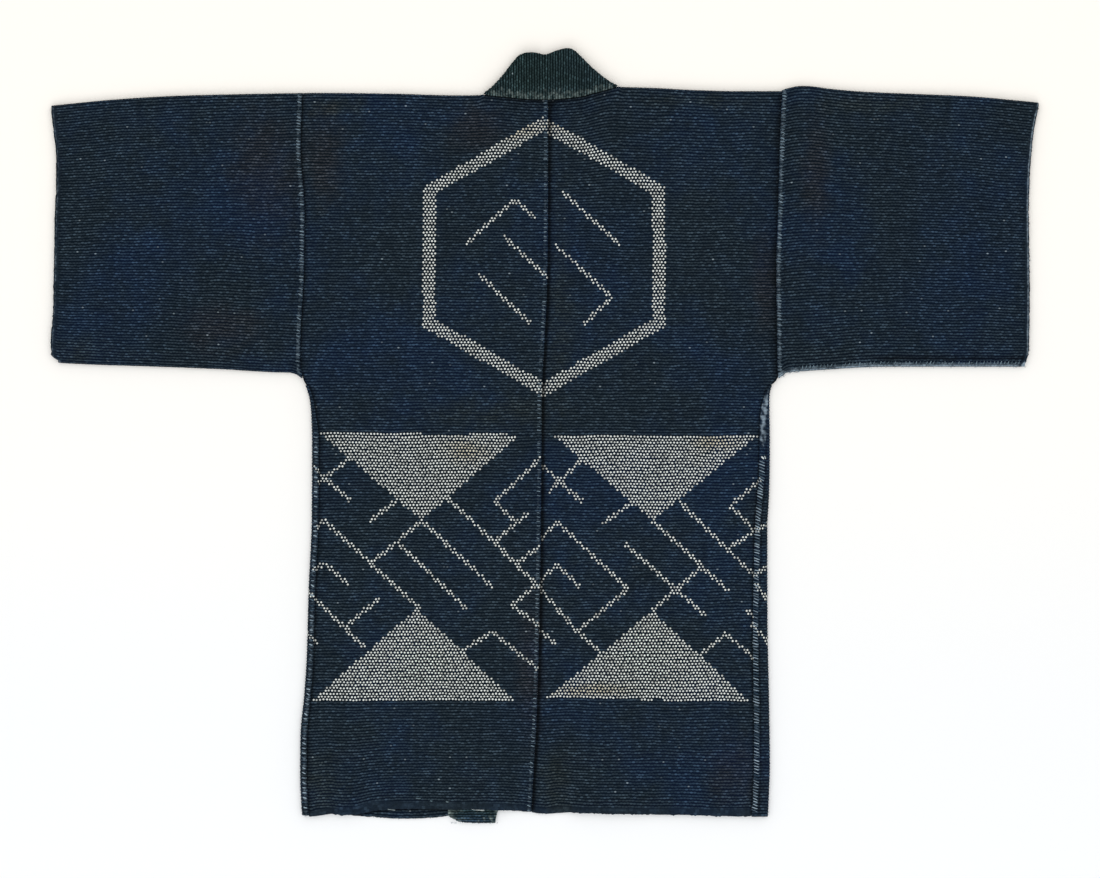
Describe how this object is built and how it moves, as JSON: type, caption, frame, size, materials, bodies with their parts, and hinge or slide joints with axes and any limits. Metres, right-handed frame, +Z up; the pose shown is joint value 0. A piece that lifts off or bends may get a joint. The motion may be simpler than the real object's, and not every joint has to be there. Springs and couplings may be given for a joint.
{
  "type": "japanese fireman coat, laid flat with its back up",
  "caption": "Hip-length coat of quilted indigo cotton with wide square sleeves and a folded collar band, laid out flat with its back up and its panels lying on each other.",
  "frame": {"origin": "middle of the laid coat's footprint, on the surface it lies on", "axes": "+X across the coat towards the picture's right sleeve, +Y from the hem to the collar, +Z up through the layers, out of the back"},
  "size_m": [1.2823, 1.0062, 0.0095],
  "materials": {
    "quilted_cotton": "matt indigo cotton in close rows of running stitch, with white undyed stitches in the pattern",
    "collar_cotton": "matt dark green-blue cotton in close ribs, worn paler along its seam"
  },
  "bodies": {
    "root": {"body_left": "quilted_cotton", "body_right": "quilted_cotton", "sleeve_left": "quilted_cotton", "sleeve_right": "quilted_cotton", "collar": "collar_cotton"}
  },
  "joints": []
}
